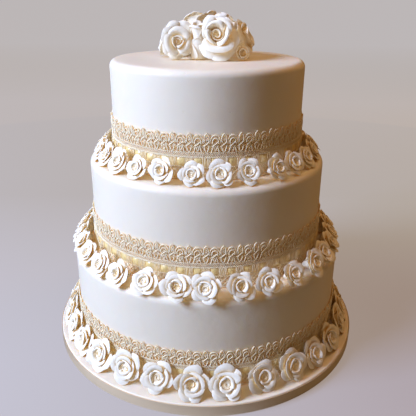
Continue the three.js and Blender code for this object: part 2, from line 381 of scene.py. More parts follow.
def satin(name, colour, bright):
    """Satin ribbon: long floats of shiny thread side by side, so it gleams across its width, with
    the threads drawn coarser than they are so that they show."""
    material, shader = new_material(
        name,
        Base_Color=linear(colour),
        Roughness=0.34,
        Specular_IOR_Level=bright,
        Coat_Weight=0.8,
        Coat_Roughness=0.3,
        Coat_IOR=2,
        Sheen_Weight=0.25,
        Sheen_Roughness=0.4,
    )
    here = add_node(material, "ShaderNodeTexCoord").outputs["Object"]
    # at a scale of 1 a wave texture makes 20 waves in every 2 pi metres
    threads = add_node(
        material,
        "ShaderNodeTexWave",
        {"Vector": here, "Scale": SATIN_WAVE_SCALE, "Distortion": 1.5},
        bands_direction="Z",
    )
    ribbed = {"Height": threads.outputs["Fac"], "Strength": 0.25, "Distance": 0.08 * MM}
    relief = add_node(material, "ShaderNodeBump", ribbed)
    material.node_tree.links.new(relief.outputs["Normal"], shader.inputs["Normal"])
    return material


def coordinates(mesh):
    """The places of a mesh's points, one in each row."""
    co = np.empty(len(mesh.vertices) * 3)
    mesh.vertices.foreach_get("co", co)
    return co.reshape(-1, 3)


def finish_with(piece, kind, **settings):
    """Adds a modifier with its settings to the active piece and applies it."""
    bpy.ops.object.modifier_add(type=kind)
    modifier = piece.modifiers[-1]
    for name, value in settings.items():
        setattr(modifier, name, value)
    bpy.ops.object.modifier_apply(modifier=modifier.name)


board_satin = satin("ivory_satin_ribbon", SATIN_IVORY, 0.7)
low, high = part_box("board_ribbon")
bpy.ops.object.select_all(action="DESELECT")
bpy.ops.mesh.primitive_cylinder_add(
    vertices=BOARD_RIBBON_STEPS,
    radius=high.x - 0.25 * MM,
    depth=high.z - low.z,
    location=(0, 0, (low.z + high.z) / 2),
    end_fill_type="NOTHING",
)
place_in_mesh()
board_ribbon = bpy.context.object
select_edges(board_ribbon, lambda a, b: abs(a.z - b.z) > 1 * MM)
bpy.ops.mesh.subdivide(number_cuts=6)
bpy.ops.object.mode_set(mode="OBJECT")
co = coordinates(board_ribbon.data)
angle = np.arctan2(co[:, 1], co[:, 0])
share = (co[:, 2] - low.z) / (high.z - low.z)
bow = BOARD_RIBBON_SLACK * np.sin(math.pi * share) * np.sin(9 * angle + 3 * np.sin(2 * angle))
co[:, :2] *= (1 + bow / BOARD_RADIUS)[:, None]
board_ribbon.data.vertices.foreach_set("co", co.ravel())
finish_with(board_ribbon, "SOLIDIFY", thickness=0.3 * MM, offset=-1)
bpy.ops.object.shade_smooth_by_angle(angle=math.radians(50))
finish_piece(board_ribbon, "board_satin_ribbon", board_satin, "board_satin", "board_ribbon")

# ------------------------------------------------------------ the tiers
# Three round cakes covered in 5 mm of rolled icing and smoothed by hand: nearly true walls, tops
# that turn over in a 7 mm curve, a faint waviness, and a few small pits left by air and crumbs.

TIER_HEIGHT = 100.5 * MM
TIER_EDGE = 7 * MM
TIERS = (("bottom", 152.4 * MM), ("middle", 128.4 * MM), ("top", 101.6 * MM))
TIER_WAVINESS = 0.5 * MM
WAVE_WIDTH = 55 * MM

tier_icing = rolled_icing("rolled_tier_icing", ICING_IVORY)
smoothing = bpy.data.textures.new("smoothing_by_hand", "CLOUDS")
smoothing.noise_scale = WAVE_WIDTH
smoothing.noise_depth = 1
for level, (tier_name, radius) in enumerate(TIERS):
    ledge = BOARD_HEIGHT + level * TIER_HEIGHT
    tier = iced_drum(radius, ledge, ledge + TIER_HEIGHT, TIER_EDGE, rows=26, rings=12)
    finish_with(tier, "DISPLACE", texture=smoothing, strength=TIER_WAVINESS, mid_level=0.8)
    finish_piece(tier, f"iced_tier_{tier_name}", tier_icing, "icing", f"tier_{tier_name}")
    stands_in_way.objects.link(tier)

# ------------------------------------------------------------ lace
# A band of bobbin lace round the foot of each tier, 45 mm deep, worked in thick two-ply cotton in
# repeats of 16 mm: pointed loops and double arches, crossed threads, pairs of legs, a fine net
# between two braids, the bars that a ribbon runs under, and a coarser net down to the foot.

REPEAT = 16  # the pattern is drawn in millimetres
LACE_REPEAT = REPEAT * MM
LACE_OFF = 0.3 * MM
STOUT_RADIUS = 0.62 * MM
FINE_RADIUS = 0.36 * MM
LACE_RELIEF = 0.8
COTTON = "f9ecce"
# painted bounce light: the golden tone of the cotton in the lace's crevices
COTTON_PAINTED_BOUNCE = "fbdf9f"
COTTON_FIBRES = 0.9 * MM
RIBBON_LOW = 13.6  # heights in the pattern
RIBBON_HIGH = 22.2
FINE_NET_TOP = 27.0


def thread(curve, points):
    """One thread through points of (along, off the wall, up), in millimetres."""
    spline = curve.splines.new("POLY")
    spline.points.add(len(points) - 1)
    for point, (x, y, z) in zip(spline.points, points):
        point.co = (x * MM, y * MM, z * MM, 1)


def smooth_way(corners, off):
    """Points along a smooth curve through corners of (along, up), three from each to the next."""
    ends = [corners[0], *corners, corners[-1]]
    way = []
    for i in range(1, len(ends) - 2):
        p0, p1, p2, p3 = (np.array(ends[i + k], float) for k in (-1, 0, 1, 2))
        for t in (0, 1 / 3, 2 / 3):
            way.append(
                0.5 * (2 * p1 + (p2 - p0) * t + (2 * p0 - 5 * p1 + 4 * p2 - p3) * t * t)
                + 0.5 * (3 * p1 - p0 - 3 * p2 + p3) * t**3
            )
    way.append(np.array(corners[-1], float))
    return [(x, off, z) for x, z in way]


def select_only(*pieces):
    """Selects these pieces and no others, and makes the first one active."""
    bpy.ops.object.select_all(action="DESELECT")
    for piece in pieces:
        piece.select_set(True)
    bpy.context.view_layer.objects.active = pieces[0]


def pair_of_threads(curve, points, middle):
    """A thread, and one like it on the other side of a middle."""
    thread(curve, points)
    thread(curve, [(2 * middle - x, y, z) for x, y, z in points])


def work_figures(curve):
    """The figures of the lace, of stout thread."""
    # the pointed loop
    loop = smooth_way([(-1.9, 37.0), (-2.3, 40.6), (-1.5, 43.6), (0, 45.2)], 1.4)
    pair_of_threads(curve, loop, 0)
    # the fan: one arch inside another, with a hole at its heart
    for foot, low_shoulder, high_shoulder, top, off in (
        (3.1, (3.5, 38.8), (5.1, 42.4), 43.6, 1.2),
        (5.3, (5.3, 38.0), (6.1, 39.9), 40.7, 1.6),
    ):
        half = [(foot, 35.8), low_shoulder, high_shoulder]
        other_half = [(REPEAT - x, z) for x, z in half[::-1]]
        thread(curve, smooth_way([*half, (8, top), *other_half], off))
    # a picot in each loop, and a tongue under each fan
    for middle, foot, top, half, off in ((0, 38.0, 42.6, 0.8, 0.9), (8, 28.6, 33.4, 1.1, 1.1)):
        side = smooth_way([(middle, foot), (middle + half, (foot + top) / 2), (middle, top)], off)
        pair_of_threads(curve, side, middle)
    # threads that cross under the loops and under the fans, and tie one to the other
    for middle in (0, 8):
        for off, side in ((0.8, 1), (1.5, -1)):
            thread(curve, [(middle + side * x, off, z) for x, z in ((-2.6, 37.4), (0, 35.2), (2.6, 32.8))])
    pair_of_threads(curve, [(1.8, 1.0, 38.6), (3.0, 1.2, 38.0), (4.2, 1.0, 36.4)], REPEAT / 2)
    # legs: a bowed pair under each loop, and a pair that spreads under each fan
    pair_of_threads(curve, smooth_way([(2.2, 33.2), (1.7, 30.6), (0.4, 27.6)], 1.4), 0)
    pair_of_threads(curve, [(6.4, 1.2, 33.4), (5.2, 1.5, 30.6), (4.4, 1.2, 27.4)], REPEAT / 2)


def work_nets(curve):
    """Its braids, nets and bars, of fine thread."""
    # braids: two fine threads that wind round one another four times in a repeat
    for height in (FINE_NET_TOP, RIBBON_HIGH + 0.4, RIBBON_LOW - 0.4, 1.2):
        for phase in (0, math.pi):
            braid = []
            for k in range(REPEAT + 1):
                swing = k / REPEAT * 4 * 2 * math.pi + phase
                braid.append((k, 1.3 + 0.3 * math.cos(swing), height + 0.5 * math.sin(swing)))
            thread(curve, braid)
    # the close net behind the figures
    for x in range(0, REPEAT, 4):
        for side, off in ((1, 0.5), (-1, 0.8)):
            thread(curve, [(x, off, FINE_NET_TOP), (x + side * 5, off, 33.5), (x + side * 9, off, 38.7)])
    # the fine net
    drop = FINE_NET_TOP - RIBBON_HIGH
    for x in range(0, REPEAT, 2):
        for side, offs in ((1, (1.0, 1.7, 1.0)), (-1, (1.5, 1.0, 1.5))):
            falls = zip((0, drop / 2, drop), offs)
            thread(curve, [(x + side * fall, off, FINE_NET_TOP - fall) for fall, off in falls])
    # bars: threads that hold the ribbon down, each leaning its own way
    bar = ((0, 1.4, RIBBON_HIGH), (1, 2.1, RIBBON_HIGH - 2), (-1, 2.1, RIBBON_LOW + 2), (0, 1.4, RIBBON_LOW))
    for k in range(6):
        lean = 0.4 * math.sin(2.3 * k)
        thread(curve, [(-3.5 + 1.4 * k + side * lean, off, z) for side, off, z in bar])
    # the coarse net at the foot
    for start in (0, REPEAT / 3, REPEAT * 2 / 3):
        slant = [(start + d, 0.5 + 0.3 * (k % 2), 13.2 - d) for k, d in enumerate((0, 4, 8, 12))]
        thread(curve, slant)
        thread(curve, [(REPEAT - x, 1.3 - y, z) for x, y, z in slant])


def lace_motif():
    """One repeat of the lace, flat, as a mesh: the pointed loop stands at its start."""
    made = []
    for name, radius, roundness, work in (
        ("figures", STOUT_RADIUS, 1, work_figures),
        ("nets", FINE_RADIUS, 0, work_nets),
    ):
        curve = bpy.data.curves.new(name, "CURVE")
        curve.dimensions = "3D"
        curve.bevel_depth = radius
        curve.bevel_resolution = roundness
        curve.use_fill_caps = True
        work(curve)
        made.append(bpy.data.objects.new(name, curve))
        bpy.context.scene.collection.objects.link(made[-1])
    select_only(*made)
    bpy.ops.object.convert(target="MESH")
    bpy.ops.object.join()
    return bpy.context.object


def cotton_thread(name, colour):
    """Two-ply cotton: matt and a little fuzzy, uneven where its fibres stand up and lie down, and golden
    with painted bounce light in its crevices.
    """
    material, shader = new_material(
        name,
        Roughness=0.95,
        Subsurface_Weight=0.25,
        Subsurface_Radius=(1.0, 0.85, 0.7),
        Subsurface_Scale=0.7 * MM,
        Specular_IOR_Level=0.08,
    )
    here = add_node(material, "ShaderNodeTexCoord").outputs["Object"]
    fibres = add_node(
        material, "ShaderNodeTexNoise", {"Vector": here, "Scale": 1 / COTTON_FIBRES, "Detail": 2}
    )
    tint = add_node(
        material,
        "ShaderNodeMix",
        {0: fibres.outputs["Fac"], 6: linear(colour), 7: dimmed(colour, 0.92, 0.88, 0.8)},
        data_type="RGBA",
    )
    fuzzy = {"Height": fibres.outputs["Fac"], "Strength": 0.5, "Distance": 0.3 * MM}
    relief = add_node(material, "ShaderNodeBump", fuzzy)
    # painted bounce light in the lace's crevices
    colour_here = painted_bounce_in_crevices(material, 3 * MM, 0.4, tint.outputs[2], COTTON_PAINTED_BOUNCE)
    material.node_tree.links.new(colour_here, shader.inputs["Base Color"])
    material.node_tree.links.new(relief.outputs["Normal"], shader.inputs["Normal"])
    return material


def wrap_round(mesh, radius, ledge, repeats, relief=1):
    """Wraps a flat band of (along, off, up) round a wall, its first repeat at the front. relief is
    how much of what stands off the wall is kept: threads are flattened when lace is pressed."""
    co = coordinates(mesh)
    angle = co[:, 0] / (repeats * LACE_REPEAT) * 2 * math.pi
    out = radius + co[:, 1] * relief
    wrapped = np.column_stack([out * np.sin(angle), -out * np.cos(angle), ledge + co[:, 2]])
    mesh.vertices.foreach_set("co", wrapped.ravel())
    mesh.update()


cotton = cotton_thread("two_ply_cotton", COTTON)
motif = lace_motif()
for level, (tier_name, radius) in enumerate(TIERS):
    repeats = round(2 * math.pi * radius / LACE_REPEAT)
    select_only(motif)
    bpy.ops.object.duplicate()
    lace = bpy.context.object
    finish_with(
        lace,
        "ARRAY",
        count=repeats,
        use_relative_offset=False,
        use_constant_offset=True,
        constant_offset_displace=(LACE_REPEAT, 0, 0),
    )
    wrap_round(lace.data, radius + LACE_OFF, BOARD_HEIGHT + level * TIER_HEIGHT, repeats, LACE_RELIEF)
    bpy.ops.object.mode_set(mode="EDIT")
    bpy.ops.mesh.select_all(action="SELECT")
    bpy.ops.mesh.normals_make_consistent(inside=False)
    bpy.ops.object.mode_set(mode="OBJECT")
    bpy.ops.object.shade_smooth_by_angle(angle=math.radians(70))
    finish_piece(lace, f"cotton_lace_{tier_name}", cotton, "cotton_lace", f"lace_{tier_name}")
bpy.data.objects.remove(motif)

# ------------------------------------------------------------ the lace's ribbons
# Pale yellow satin ribbon 8.6 mm wide, threaded under the bars of each band of lace. It lies flat
# under them and puffs out in the windows between.

SATIN_YELLOW = "f7dc94"
RIBBON_PUFF = 1.7 * MM
BAR_HALF = 3.7 / REPEAT  # half the width of the bars, as a share of a repeat

yellow_satin = satin("pale_yellow_satin_ribbon", SATIN_YELLOW, 0.9)
for level, (tier_name, radius) in enumerate(TIERS):
    repeats = round(2 * math.pi * radius / LACE_REPEAT)
    bpy.ops.object.select_all(action="DESELECT")
    bpy.ops.mesh.primitive_grid_add(x_subdivisions=REPEAT * repeats, y_subdivisions=6, size=2)
    ribbon = bpy.context.object
    co = coordinates(ribbon.data)
    along = (co[:, 0] + 1) / 2 * repeats
    across = (co[:, 1] + 1) / 2
    window = np.abs((along + 0.5) % 1 - 0.5)
    puff = np.clip((window - BAR_HALF) / (0.5 - BAR_HALF), 0, 1)
    puff = np.sqrt(np.clip(1 - (1 - puff) ** 2, 0, 1))
    crown = 1 - 0.75 * (2 * across - 1) ** 2
    crease = 0.12 * np.sin(along * 12.1 + 5 * across) + 0.1 * np.sin(along * 5.3 - 8 * across)
    off = 0.25 * MM + RIBBON_PUFF * puff * (crown + crease * puff)
    up = (RIBBON_LOW + across * (RIBBON_HIGH - RIBBON_LOW)) * MM
    flat = np.column_stack([along * LACE_REPEAT, off, up])
    ribbon.data.vertices.foreach_set("co", flat.ravel())
    wrap_round(ribbon.data, radius + LACE_OFF, BOARD_HEIGHT + level * TIER_HEIGHT, repeats)
    bpy.ops.object.mode_set(mode="EDIT")
    bpy.ops.mesh.select_all(action="SELECT")
    bpy.ops.mesh.remove_doubles(threshold=0.01 * MM)
    bpy.ops.mesh.normals_make_consistent(inside=False)
    bpy.ops.object.mode_set(mode="OBJECT")
    finish_with(ribbon, "SOLIDIFY", thickness=0.15 * MM)
    bpy.ops.object.shade_smooth_by_angle(angle=math.radians(60))
    finish_piece(
        ribbon, f"satin_ribbon_{tier_name}", yellow_satin, "yellow_satin", f"lace_ribbon_{tier_name}"
    )

# ------------------------------------------------------------ rose forms
# A rose is made of sugar flower paste rolled thin: a strip wound into a bud on a cone, three petals
# wrapped round it, and open ones outside, thinned at the edge and curled back. A form has a radius
# of 1 and a depth of 1.5, its face along +Z, and is copied to its places further on.

ROSE_DEPTH = 1.5
PASTE = 0.06  # thickness of a petal, as a share of the rose's radius
THIN_EDGE = 0.45  # thickness at its edge, as a share of that
OVERLAP = 0.075  # how far one side of a petal stands out over the next, and the other side in
PETAL_COLUMNS = 13
PETAL_ROWS = 11
STRIP_COLUMNS = 22  # in each turn of a bud
SUGAR_WHITE = "fdf5e2"
# painted bounce light: the golden tone of the paste deep between the petals
PASTE_PAINTED_BOUNCE = "fde2a4"
PETAL_FOLD = 6 * MM


def sugar_paste(name, colour):
    """Sugar flower paste: finer and whiter than rolled icing, satin, thin enough at the petals'
    edges to let light through, and golden with painted bounce light deep between its petals."""
    material, shader = new_material(
        name,
        Roughness=0.46,
        Subsurface_Weight=0.25,
        Subsurface_Radius=(1.0, 0.96, 0.92),
        Subsurface_Scale=1.0 * MM,
        Specular_IOR_Level=0.4,
    )
    here = add_node(material, "ShaderNodeTexCoord").outputs["Object"]
    fold = add_node(material, "ShaderNodeTexNoise", {"Vector": here, "Scale": 1 / PETAL_FOLD, "Detail": 2})
    tint = add_node(
        material,
        "ShaderNodeMix",
        {0: fold.outputs["Fac"], 6: linear(colour), 7: dimmed(colour, 0.985, 0.965, 0.93)},
        data_type="RGBA",
    )
    folded = {"Height": fold.outputs["Fac"], "Strength": 0.25, "Distance": 0.5 * MM}
    relief = add_node(material, "ShaderNodeBump", folded)
    # painted bounce light deep between the petals
    colour_here = painted_bounce_in_crevices(material, 6 * MM, 0.45, tint.outputs[2], PASTE_PAINTED_BOUNCE)
    material.node_tree.links.new(colour_here, shader.inputs["Base Color"])
    material.node_tree.links.new(relief.outputs["Normal"], shader.inputs["Normal"])
    return material


def eased(share):
    """0 to 1 with a soft start and end."""
    share = np.clip(share, 0, 1)
    return share * share * (3 - 2 * share)


def lay_sheet(across, up, place):
    """A sheet of paste: a grid whose points, u from -1 to 1 and v from 0 to 1, go where place says.
    It is thinned towards its sides and its upper edge."""
    bpy.ops.mesh.primitive_grid_add(x_subdivisions=across, y_subdivisions=up, size=2)
    sheet = bpy.context.object
    co = coordinates(sheet.data)
    placed = place(co[:, 0], (co[:, 1] + 1) / 2)
    sheet.data.vertices.foreach_set("co", np.column_stack(placed).ravel())
    thick = sheet.vertex_groups.new(name="thick")
    for i, (side, height) in enumerate(co[:, :2]):
        thick.add([i], (1 - eased((height - 0.2) / 0.8)) * (1 - side**4), "REPLACE")
    return sheet


def petal(rng, columns, middle, half, rim, foot, opened, lip, curl, crisp, point):
    """One petal round the bud. middle and half are its place and half width in degrees, foot and
    rim the (radius, height) where it starts and where its edge turns out, and opened how far it
    leans out there. Its lip has a length, a curl, how suddenly that comes (crisp) and how much
    lower the sides are than the tip (point)."""
    reach = 0.5 * math.dist(foot, rim)
    leans = math.radians(opened)
    waist = (rim[0] - reach * math.sin(leans), rim[1] - reach * math.cos(leans))
    tip = rng.uniform(-0.35, 0.35)
    lips = lip * rng.uniform(0.7, 1.25, 2)
    flat = rng.uniform(0.2, 0.6)
    ripple = rng.uniform(-1, 1, 3)
    body = 0.5
    steps = 12

    def place(u, v):
        # the columns stand closer together at the sides, where the edge bends most
        u = u * (1.25 - 0.25 * u * u)
        aside = np.where(u < tip, (u - tip) / (1 + tip), (u - tip) / (1 - tip))
        far = np.abs(aside)
        # the body: a curve from the foot to the rim, which it meets lower down at the sides
        t = np.minimum(v / body, 1) * (1 - point * far**0.8 - 0.34 * far**5)
        out, up = (
            2 * t * (1 - t) * (waist[k] - foot[k]) + t * t * (rim[k] - foot[k]) for k in (0, 1)
        )
        turn = np.arctan2(*((1 - t) * (waist[k] - foot[k]) + t * (rim[k] - waist[k]) for k in (0, 1)))
        # the lip: it goes on from there and rolls over, step by step
        past = np.clip((v - body) / (1 - body), 0, 1)
        length = lips[0] + (lips[1] - lips[0]) * eased(0.5 + aside)
        length *= (1.12 - 0.3 * far) * (1 - 0.92 * far**4)
        rolled = math.radians(curl) * (1 - 0.25 * far**3)
        for k in range(steps):
            now = turn + rolled * eased(past * (k + 0.5) / steps * crisp)
            out += np.sin(now) * length * past / steps
            up += np.cos(now) * length * past / steps
        now = turn + rolled * eased(past * crisp)
        # round the bud, over the next petal on one side, and a little rippled
        over = OVERLAP * u * eased(v / 0.4) + 0.015 * ripple[0] * np.sin(3 * u + 3 * ripple[1]) * v
        angle = np.radians(half) * u * (0.62 + 0.38 * eased(v / 0.5))
        r = (foot[0] + out) * (1 + flat * eased(v) * 0.5 * np.minimum(angle**2, 0.8))
        r += over * np.cos(now)
        z = foot[1] + up - over * np.sin(now) + 0.02 * ripple[2] * np.sin(4 * u + 5 * ripple[0]) * v * v
        angle += math.radians(middle)
        return r * np.cos(angle), r * np.sin(angle), z

    return lay_sheet(columns, PETAL_ROWS, place)


def bud_strip(bud, spin, rng):
    """The strip that is wound into a bud, with its upper edge a little uneven."""
    inner, outer, foot = bud["inner"], bud["outer"], bud["foot"]
    swing = rng.uniform(0, 2 * math.pi, 3)

    def place(u, v):
        t = (u + 1) / 2
        angle = spin + t * bud["turns"] * 2 * math.pi
        r = inner + (outer - inner) * t**0.9 + 0.012 * np.sin(2 * angle + swing[0])
        height = bud["top"] - 0.1 * t + 0.03 * np.sin(1.7 * angle + swing[1])
        edge = np.clip((v - 0.7) / 0.3, 0, 1)
        r = r * (0.8 + 0.2 * v) + 0.03 * edge**2
        z = foot + (height - foot) * (v - 0.03 * edge**2)
        return r * np.cos(angle), r * np.sin(angle), z

    return lay_sheet(round(STRIP_COLUMNS * bud["turns"]), 4, place)


def row_of_petals(petals, half, rim, **shape):
    """A row of like petals, to be laid with a little spread in every measure."""

    def lay(turned, rng):
        return [
            petal(
                rng,
                PETAL_COLUMNS,
                turned + 360 / petals * (k + rng.uniform(-0.1, 0.1)),
                half * rng.uniform(0.94, 1.06),
                (rim[0] * rng.uniform(0.92, 1.06), rim[1] * rng.uniform(0.97, 1.03)),
                **shape,
            )
            for k in range(petals)
        ]

    return lay


def petals_by_hand(*places, **shape):
    """Petals each laid in its own place: its middle, half width and rim."""

    def lay(turned, rng):
        return [petal(rng, 2 * PETAL_COLUMNS, *place, **shape) for place in places]

    return lay


def shut_petals(petals, half, widest, height):
    """Petals shut over one another as a bud: they swell to their widest and close at the top."""

    def lay(turned, rng):
        sheets = []
        for k in range(petals):
            middle = turned + 360 / petals * k

            def place(u, v, middle=middle):
                angle = np.radians(middle + half * u)
                rounded = math.pi * (0.12 + 0.86 * v)
                r = widest * np.sin(rounded) ** 0.9 * (1 + 0.1 * u)
                z = height * (1 - np.cos(rounded)) / 2 * (1 - 0.04 * u * u * v)
                return r * np.cos(angle), r * np.sin(angle), z

            sheets.append(lay_sheet(12, 9, place))
        return sheets

    return lay


def rose_form(name, rows, bud, seed, reach=1):
    """A whole rose: its bud, its rows of petals and the cone of paste that they are stuck to. reach
    is how far its longest petals come, as a share of its radius."""
    rng = np.random.default_rng(seed)
    sheets = [bud_strip(bud, rng.uniform(0, 6), rng)]
    turned = rng.uniform(0, 360)
    for lay in rows:
        laid = lay(turned, rng)
        sheets.extend(laid)
        turned += 180 / len(laid) + rng.uniform(-14, 14)
    rose = sheets[0]
    select_only(*sheets)
    bpy.ops.object.join()
    finish_with(
        rose, "SOLIDIFY", thickness=PASTE, offset=0, vertex_group="thick", thickness_vertex_group=THIN_EDGE
    )
    bpy.ops.mesh.primitive_cone_add(
        vertices=16, radius1=0.1, radius2=bud["outer"], depth=bud["plug"], location=(0, 0, bud["plug"] / 2)
    )
    cone = bpy.context.object
    place_in_mesh()
    select_only(rose, cone)
    bpy.ops.object.join()
    bpy.ops.object.shade_smooth_by_angle(angle=math.radians(66))
    form = rose.data
    form.name = name
    bpy.data.objects.remove(rose)
    low, high = coordinates(form).min(axis=0), coordinates(form).max(axis=0)
    across = 2 * reach / max(high[0] - low[0], high[1] - low[1])
    form.transform(
        Matrix.Diagonal((across, across, ROSE_DEPTH / (high[2] - low[2]), 1))
        @ Matrix.Translation((-(low[0] + high[0]) / 2, -(low[1] + high[1]) / 2, -low[2]))
    )
    return form


INNER_ROW = row_of_petals(
    3, 80, (0.35, 1.34), foot=(0.26, 0.95), opened=14, lip=0.14, curl=95, crisp=1.2, point=0.04
)
MIDDLE_ROW = row_of_petals(
    3, 82, (0.52, 1.25), foot=(0.33, 0.85), opened=44, lip=0.28, curl=50, crisp=1, point=0.11
)
OUTER_ROW = row_of_petals(
    5, 57, (0.74, 1.12), foot=(0.2, 0.2), opened=56, lip=0.42, curl=46, crisp=1, point=0.25
)
# turns of the strip, its inner and outer radius, foot and top, and the height of the cone in it
TIGHT_BUD = dict(turns=2.3, inner=0.05, outer=0.3, foot=0.55, top=1.36, plug=1.24)
HOLLOW_BUD = dict(turns=1.7, inner=0.1, outer=0.3, foot=0.5, top=1.3, plug=1.08)
OPEN_ROSE = (INNER_ROW, MIDDLE_ROW, OUTER_ROW)
RING_BUDS = (TIGHT_BUD, TIGHT_BUD, HOLLOW_BUD, TIGHT_BUD, TIGHT_BUD, TIGHT_BUD)
LONGEST_PETAL = 1.08  # the petals of the rings press on their neighbours

forms = []
for k, bud in enumerate(RING_BUDS):
    forms.append(rose_form(f"rose_form_{k}", OPEN_ROSE, bud, 100 + k, LONGEST_PETAL))

# ------------------------------------------------------------ rose rings
# A ring of sugar roses stands on the board and on each ledge, stuck down with icing, leaning back
# on the lace and pressed close together at the sides and back. The roses of the upper two rings
# lean back more at the sides, and the middle ring stands forward of the lace at the front.

CLEARANCE = 0.3 * MM
LACE_AND_RIBBON = 1.4 * MM
# spaces: how many roses would fit round; first: where the middle one stands, in degrees; singles
# and run: how many single ones there are, and how many in each run at the back. off is in
# millimetres, depth in shares of a radius, and the leans in degrees.
ROSE_RINGS = (
    dict(spaces=29, first=7.5, singles=9, run=12, off=0, depth=0.85, lean=26, side_lean=0, seed=11),
    dict(spaces=31, first=0.5, singles=11, run=12, off=4, depth=1.5, lean=32, side_lean=13, seed=21),
    dict(spaces=27, first=6.8, singles=9, run=11, off=0, depth=1.5, lean=26, side_lean=13, seed=31),
)
WIDEST = 0.6  # where a rose is widest, as a share of its depth
SMALLEST = 0.92
LEAN_SPREAD = 6
TURN_SPREAD = 9
OFF_SPREAD = 1.2
PRESSED = 1.2
BACK_SPREAD = 0.25
FACE_FROM = 0.95  # the height in a form where its face begins


def draws(seed):
    """Lehmer's generator: the same draws as the solids are placed by."""
    state = seed
    while True:
        state = state * 48271 % 2147483647
        yield state / 2147483647


def ring_places(ring, tier_radius):
    """The roses of a ring: single ones across the front, and a run on each side of the back."""
    draw = draws(ring["seed"])
    wall = tier_radius / MM + (LACE_AND_RIBBON + 3 * CLEARANCE) / MM

    def room_for(step):
        half = math.radians(step / 2)
        off = half * wall * ring["depth"] * WIDEST * math.cos(math.radians(ring["lean"]))
        return (wall + ring["off"] + off) * math.sin(half)

    def row(first, step, count, largest, calm):
        places = []
        for i in range(count):
            radius = largest * (1 - (1 - SMALLEST) * calm * next(draw))
            azimuth = first + i * step
            forward = max(0, math.cos(math.radians(azimuth)))
            stand = wall + ring["off"] * forward + OFF_SPREAD * calm * next(draw)
            lean = ring["lean"] + ring["side_lean"] * (1 - forward)
            lean += LEAN_SPREAD * calm * (2 * next(draw) - 1)
            turn = TURN_SPREAD * calm * (2 * next(draw) - 1)
            spin = next(draw) * 2 * math.pi
            place = dict(azimuth=azimuth, wall=stand * MM, lean=lean, turn=turn, spin=spin)
            places.append(place | dict(radius=radius * MM, depth=radius * ring["depth"] * MM))
        return places

    step = 360 / ring["spaces"]
    first = ring["first"] - step * (ring["singles"] // 2)
    last = first + step * (ring["singles"] - 1)
    back = (first + last) / 2 + 180
    run_step = (back - last - 1.5 * step) / (ring["run"] - 1)
    pressed = room_for(run_step) * PRESSED
    front = row(first, step, ring["singles"], room_for(step) - CLEARANCE / MM, 1)
    right = row(last + step, run_step, ring["run"], pressed, BACK_SPREAD)
    left = row(back + step / 2, run_step, ring["run"], pressed, BACK_SPREAD)
    return front, right, left


def facing(lean, turn):
    """Turns +Z to face out at the front: tipped up by lean, and aside by turn."""
    tipped = Matrix.Rotation(math.radians(90 - lean), 4, "X")
    return Matrix.Rotation(math.radians(turn), 4, "Z") @ tipped


def ledge_rose(form, place, ledge):
    """A copy of a form on a ledge: it rests on the ledge and leans on what is behind it. Where there
    is less room for its depth, its back is cut shorter, and its face stays as it is."""
    mesh = form.copy()
    depth = place["depth"] / place["radius"]
    co = coordinates(mesh)
    cut = (0, depth - ROSE_DEPTH + FACE_FROM, depth)
    co[:, 2] = np.interp(co[:, 2], (0, FACE_FROM, ROSE_DEPTH), cut)
    mesh.vertices.foreach_set("co", co.ravel())
    size = Matrix.Scale(place["radius"], 4)
    spun = Matrix.Rotation(place["spin"], 4, "Z")
    mesh.transform(facing(place["lean"], place["turn"]) @ size @ spun)
    co = coordinates(mesh)
    stand = Vector((0, -place["wall"] - co[:, 1].max(), ledge - co[:, 2].min()))
    mesh.transform(Matrix.Rotation(math.radians(place["azimuth"]), 4, "Z") @ Matrix.Translation(stand))
    return mesh


def join_meshes(name, meshes):
    """Several meshes as one object."""
    bpy.ops.object.select_all(action="DESELECT")
    for k, mesh in enumerate(meshes):
        piece = bpy.data.objects.new(f"{name}_{k}", mesh)
        bpy.context.scene.collection.objects.link(piece)
        piece.select_set(True)
        bpy.context.view_layer.objects.active = piece
    if len(meshes) > 1:
        bpy.ops.object.join()
    return bpy.context.object


paste = sugar_paste("sugar_flower_paste", SUGAR_WHITE)
for level, ((tier_name, radius), ring) in enumerate(zip(TIERS, ROSE_RINGS)):
    ledge = BOARD_HEIGHT + level * TIER_HEIGHT + CLEARANCE
    front, right, left = ring_places(ring, radius)
    pick = np.random.default_rng(ring["seed"])
    for k, place in enumerate(front):
        rose = join_meshes("rose", [ledge_rose(forms[pick.integers(len(forms))], place, ledge)])
        node = f"rose_{tier_name}_{k + 1:02d}"
        finish_piece(rose, f"sugar_{node}", paste, "sugar_rose", node)
    for side, places in (("right", right), ("left", left)):
        meshes = [ledge_rose(forms[pick.integers(len(forms))], place, ledge) for place in places]
        node = f"roses_{tier_name}_{side}"
        finish_piece(join_meshes("run", meshes), f"sugar_{node}", paste, "sugar_rose", node)

# ------------------------------------------------------------ the topper
# A dome of larger sugar roses and buds on the top tier, fuller than those of the rings. They are
# set close together on icing while it is soft, so that they hold each other up.

TOP = BOARD_HEIGHT + 3 * TIER_HEIGHT
LARGE_ROWS = (
    petals_by_hand(
        (-20, 72, (0.42, 1.34)),
        (100, 70, (0.38, 1.4)),
        (215, 70, (0.34, 1.32)),
        foot=(0.12, 0.5), opened=16, lip=0.12, curl=100, crisp=1.2, point=0.04,
    ),
    petals_by_hand(
        (-88, 84, (0.5, 1.2)),
        (50, 64, (0.5, 1.24)),
        (150, 66, (0.44, 1.24)),
        foot=(0.16, 0.35), opened=36, lip=0.27, curl=78, crisp=1, point=0.08,
    ),
    petals_by_hand(
        (232, 54, (0.66, 0.92)),
        (-62, 56, (0.76, 0.86)),
        (-12, 52, (0.64, 0.96)),
        (52, 54, (0.42, 1.08)),
        (112, 54, (0.48, 1.08)),
        (174, 52, (0.6, 0.98)),
        foot=(0.2, 0.1), opened=55, lip=0.38, curl=55, crisp=1, point=0.13,
    ),
)
EYE = dict(turns=1.6, inner=0.08, outer=0.27, foot=0.5, top=1.28, plug=0.96)
